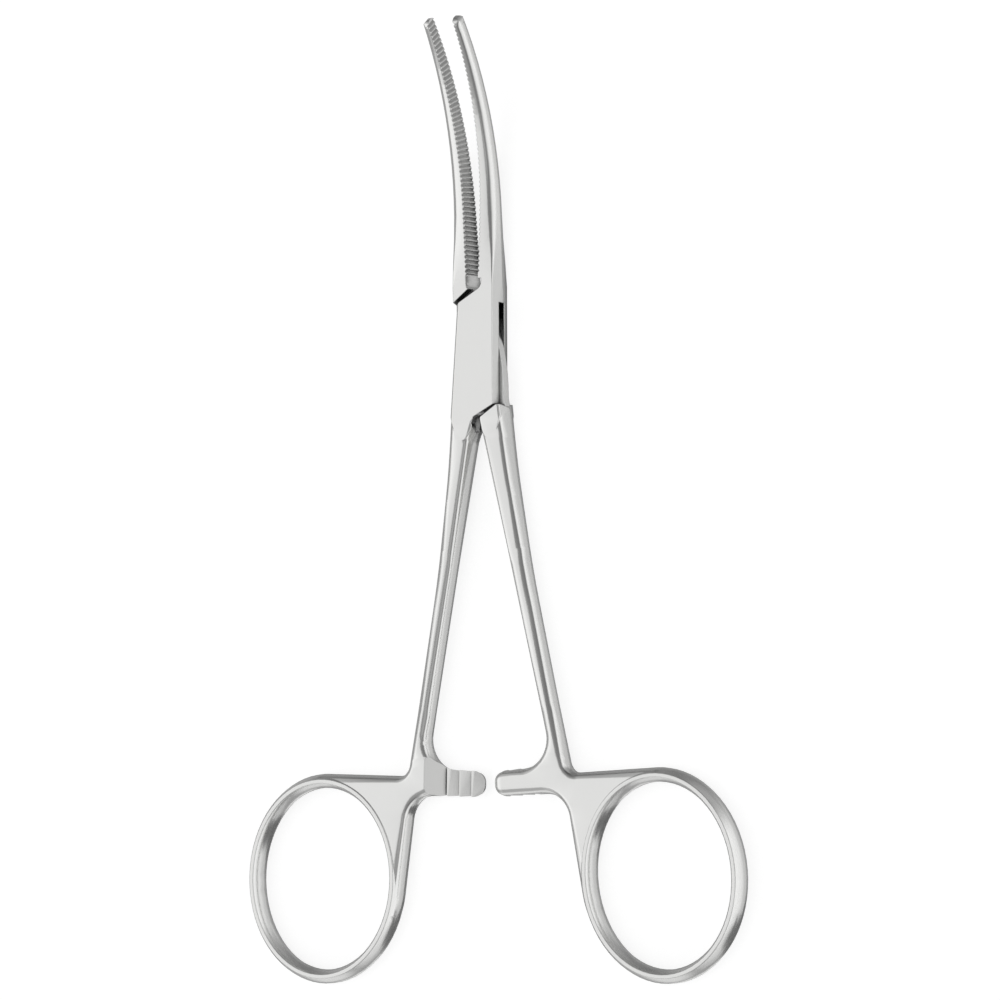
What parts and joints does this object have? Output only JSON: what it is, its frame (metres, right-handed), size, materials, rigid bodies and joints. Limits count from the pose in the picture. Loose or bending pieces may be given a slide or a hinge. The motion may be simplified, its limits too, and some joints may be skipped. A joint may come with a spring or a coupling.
{
  "type": "pean forceps",
  "caption": "Curved haemostatic forceps: two forged steel halves crossing in a box lock, serrated jaws, toothed ratchet tangs and finger rings.",
  "frame": {"origin": "on the pivot axis, at the underside of the box", "axes": "+Z along the pivot, towards the side that the jaws curve to; +Y towards the jaw tips, halfway between the two halves"},
  "size_m": [0.0826, 0.1389, 0.0113],
  "materials": {
    "satin_steel": "satin, fine glass-bead matt, ground flats",
    "pin_steel": "satin, ground flush with the box"
  },
  "bodies": {
    "box": {"box_half": "satin_steel", "pivot_pin": "pin_steel"},
    "tongue": {"tongue_half": "satin_steel"}
  },
  "joints": [
    {"name": "jaw_pivot", "type": "hinge", "parent": "box", "child": "tongue", "pos_m": [0, 0, 0.00215], "axis": [0, 0, 1], "range_deg": [-4.7, 50]}
  ]
}
